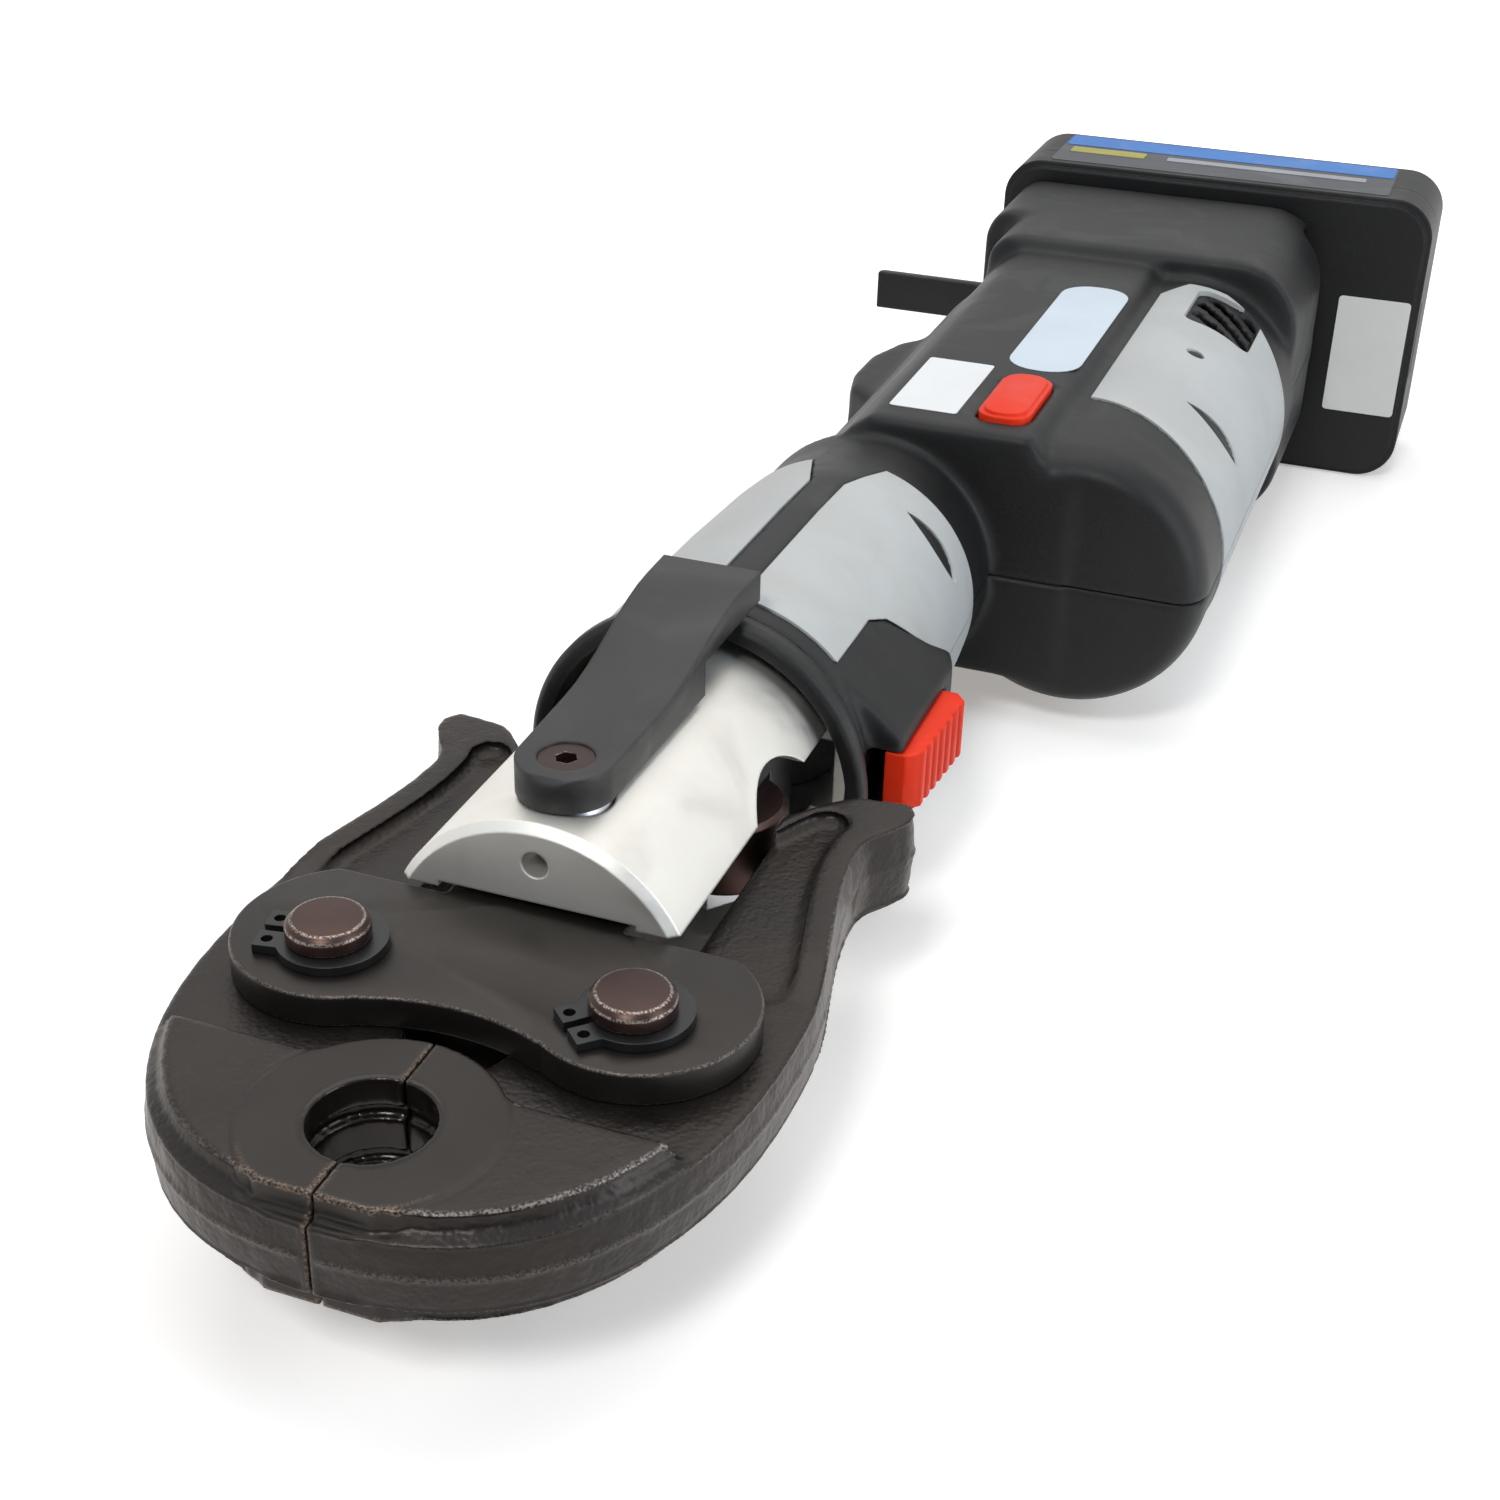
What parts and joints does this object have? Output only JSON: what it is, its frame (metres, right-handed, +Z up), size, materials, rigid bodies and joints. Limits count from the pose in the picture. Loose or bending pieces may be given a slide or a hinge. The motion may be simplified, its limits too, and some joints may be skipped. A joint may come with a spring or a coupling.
{
  "type": "battery press tool",
  "caption": "In-line battery press tool: a two-lever press jaw in a swivelling fork with lock lever, grey and black handle with red trigger, motor barrel and slide-on battery.",
  "frame": {"origin": "middle of the bounding box in X and Y, on the lowest face of the battery in Z", "axes": "+Y runs along the tool's axis from the press jaw to the battery, +X across the tool to the motor side, +Z up out of the side with the release button"},
  "size_m": [0.1424, 0.4436, 0.0744],
  "materials": {
    "forged_black": "forged and blackened, machined on top",
    "plate_black": "blackened flat steel",
    "pin_brown": "oiled steel with worn edges",
    "clip_black": "blackened spring steel",
    "fork_satin": "satin plated",
    "steel": "turned steel",
    "spring_steel": "drawn wire",
    "bronze": "bearing bronze",
    "seal_rubber": "smooth seal",
    "black_plastic": "fine grained moulding",
    "grey_plastic": "fine grained moulding",
    "red_plastic": "smooth moulding",
    "alloy": "machined",
    "motor_steel": "pressed steel",
    "gear_steel": "hardened gear steel",
    "fan_plastic": "moulded",
    "board_green": "coated board",
    "contact_metal": "stamped contacts",
    "cell_sleeve": "sleeved cells",
    "lever_black": "coated cast lever"
  },
  "bodies": {
    "housing": {"housing_upper": "black_plastic", "housing_lower": "black_plastic", "nose_ring": "black_plastic", "neck_panel_upper": "grey_plastic", "neck_panel_lower": "grey_plastic", "body_panel_upper": "grey_plastic", "body_panel_lower": "grey_plastic", "case_screws": "clip_black", "swivel_bush": "bronze", "cylinder": "alloy", "rod_seal": "seal_rubber", "return_spring": "spring_steel", "trigger_spring": "spring_steel", "trigger_switch": "black_plastic", "button_spring": "spring_steel", "release_valve": "steel", "pump_block": "alloy", "pump_plunger": "steel", "oil_bladder": "seal_rubber", "gearbox_case": "motor_steel", "ring_gear": "gear_steel", "motor_can": "motor_steel", "circuit_board": "board_green", "battery_shoe": "black_plastic", "shoe_blades": "contact_metal", "hang_tab": "black_plastic"},
    "head": {"fork": "fork_satin", "retaining_ring": "spring_steel", "plate_upper": "plate_black", "plate_lower": "plate_black", "pivot_pin_left": "pin_brown", "pivot_pin_right": "pin_brown", "pin_circlips": "clip_black", "jaw_spring": "spring_steel"},
    "jaw_left": {"jaw_left": "forged_black"},
    "jaw_right": {"jaw_right": "forged_black"},
    "ram": {"ram_head": "steel", "roller_pins": "steel", "piston_rod": "steel", "piston": "steel", "piston_seal": "seal_rubber"},
    "roller_left": {"roller_left": "pin_brown"},
    "roller_right": {"roller_right": "pin_brown"},
    "lock_bolt": {"locking_pin": "steel", "lever_screw": "pin_brown"},
    "lock_lever": {"lock_lever": "lever_black"},
    "trigger": {"trigger": "red_plastic"},
    "release_button": {"release_button": "red_plastic"},
    "rotor": {"motor_rotor": "steel", "cooling_fan": "fan_plastic", "sun_gear": "gear_steel"},
    "carrier": {"planet_carrier": "gear_steel"},
    "planet_a": {"planet_gear_a": "gear_steel"},
    "planet_b": {"planet_gear_b": "gear_steel"},
    "planet_c": {"planet_gear_c": "gear_steel"},
    "battery": {"battery_case_front": "black_plastic", "battery_case_rear": "black_plastic", "battery_cells": "cell_sleeve", "battery_clips": "contact_metal"},
    "battery_latch": {"battery_latch": "black_plastic"}
  },
  "joints": [
    {"name": "head_swivel", "type": "hinge", "parent": "housing", "child": "head", "pos_m": [-0.02025, -0.0796, 0.0372], "axis": [0, 1, 0], "range_deg": [-135, 135]},
    {"name": "jaw_right_pivot", "type": "hinge", "parent": "head", "child": "jaw_right", "pos_m": [0.00265, -0.1746, 0.0372], "axis": [0, 0, 1], "range_deg": [0, 14], "deforming": ["jaw_spring"]},
    {"name": "jaw_left_pivot", "type": "hinge", "parent": "head", "child": "jaw_left", "pos_m": [-0.04315, -0.1746, 0.0372], "axis": [0, 0, 1], "range_deg": [-14, 0], "deforming": ["jaw_spring"]},
    {"name": "ram_slide", "type": "slide", "parent": "head", "child": "ram", "axis": [0, 1, 0], "range_m": [0, 0.024], "deforming": ["return_spring"]},
    {"name": "roller_left_spin", "type": "hinge", "parent": "ram", "child": "roller_left", "pos_m": [-0.03145, -0.1091, 0.0372], "axis": [0, 0, 1], "continuous": true},
    {"name": "roller_right_spin", "type": "hinge", "parent": "ram", "child": "roller_right", "pos_m": [-0.00905, -0.1091, 0.0372], "axis": [0, 0, 1], "continuous": true},
    {"name": "lock_bolt_slide", "type": "slide", "parent": "head", "child": "lock_bolt", "axis": [0, 0, 1], "range_m": [0, 0.038]},
    {"name": "lock_lever_turn", "type": "hinge", "parent": "lock_bolt", "child": "lock_lever", "pos_m": [-0.02025, -0.1447, 0.0642], "axis": [0, 0, 1], "range_deg": [-90, 90]},
    {"name": "trigger_press", "type": "slide", "parent": "housing", "child": "trigger", "axis": [-1, 0, 0], "range_m": [0, 0.003], "stiffness_N_per_m": 900, "deforming": ["trigger_spring"]},
    {"name": "release_press", "type": "slide", "parent": "housing", "child": "release_button", "axis": [0, 0, -1], "range_m": [0, 0.002], "stiffness_N_per_m": 900, "deforming": ["button_spring"]},
    {"name": "rotor_spin", "type": "hinge", "parent": "housing", "child": "rotor", "pos_m": [0.02075, 0.0954, 0.0372], "axis": [0, 1, 0], "continuous": true},
    {"name": "carrier_spin", "type": "hinge", "parent": "housing", "child": "carrier", "pos_m": [0.02075, 0.0304, 0.0372], "axis": [0, 1, 0], "continuous": true},
    {"name": "planet_a_spin", "type": "hinge", "parent": "carrier", "child": "planet_a", "pos_m": [0.03275, 0.0394, 0.0372], "axis": [0, 1, 0], "continuous": true},
    {"name": "planet_b_spin", "type": "hinge", "parent": "carrier", "child": "planet_b", "pos_m": [0.01475, 0.0394, 0.02681], "axis": [0, 1, 0], "continuous": true},
    {"name": "planet_c_spin", "type": "hinge", "parent": "carrier", "child": "planet_c", "pos_m": [0.01475, 0.0394, 0.04759], "axis": [0, 1, 0], "continuous": true},
    {"name": "battery_slide", "type": "slide", "parent": "housing", "child": "battery", "axis": [1, 0, 0], "range_m": [0, 0.095]},
    {"name": "latch_press", "type": "slide", "parent": "battery", "child": "battery_latch", "axis": [-1, 0, 0], "range_m": [0, 0.002], "stiffness_N_per_m": 900}
  ],
  "couplings": [
    {"joint": "jaw_left_pivot", "follows": "jaw_right_pivot", "ratio": -1},
    {"joint": "ram_slide", "follows": "jaw_right_pivot", "m_per_rad": 0.098221},
    {"joint": "carrier_spin", "follows": "rotor_spin", "ratio": 0.2},
    {"joint": "planet_a_spin", "follows": "rotor_spin", "ratio": -0.53333},
    {"joint": "planet_b_spin", "follows": "rotor_spin", "ratio": -0.53333},
    {"joint": "planet_c_spin", "follows": "rotor_spin", "ratio": -0.53333}
  ]
}
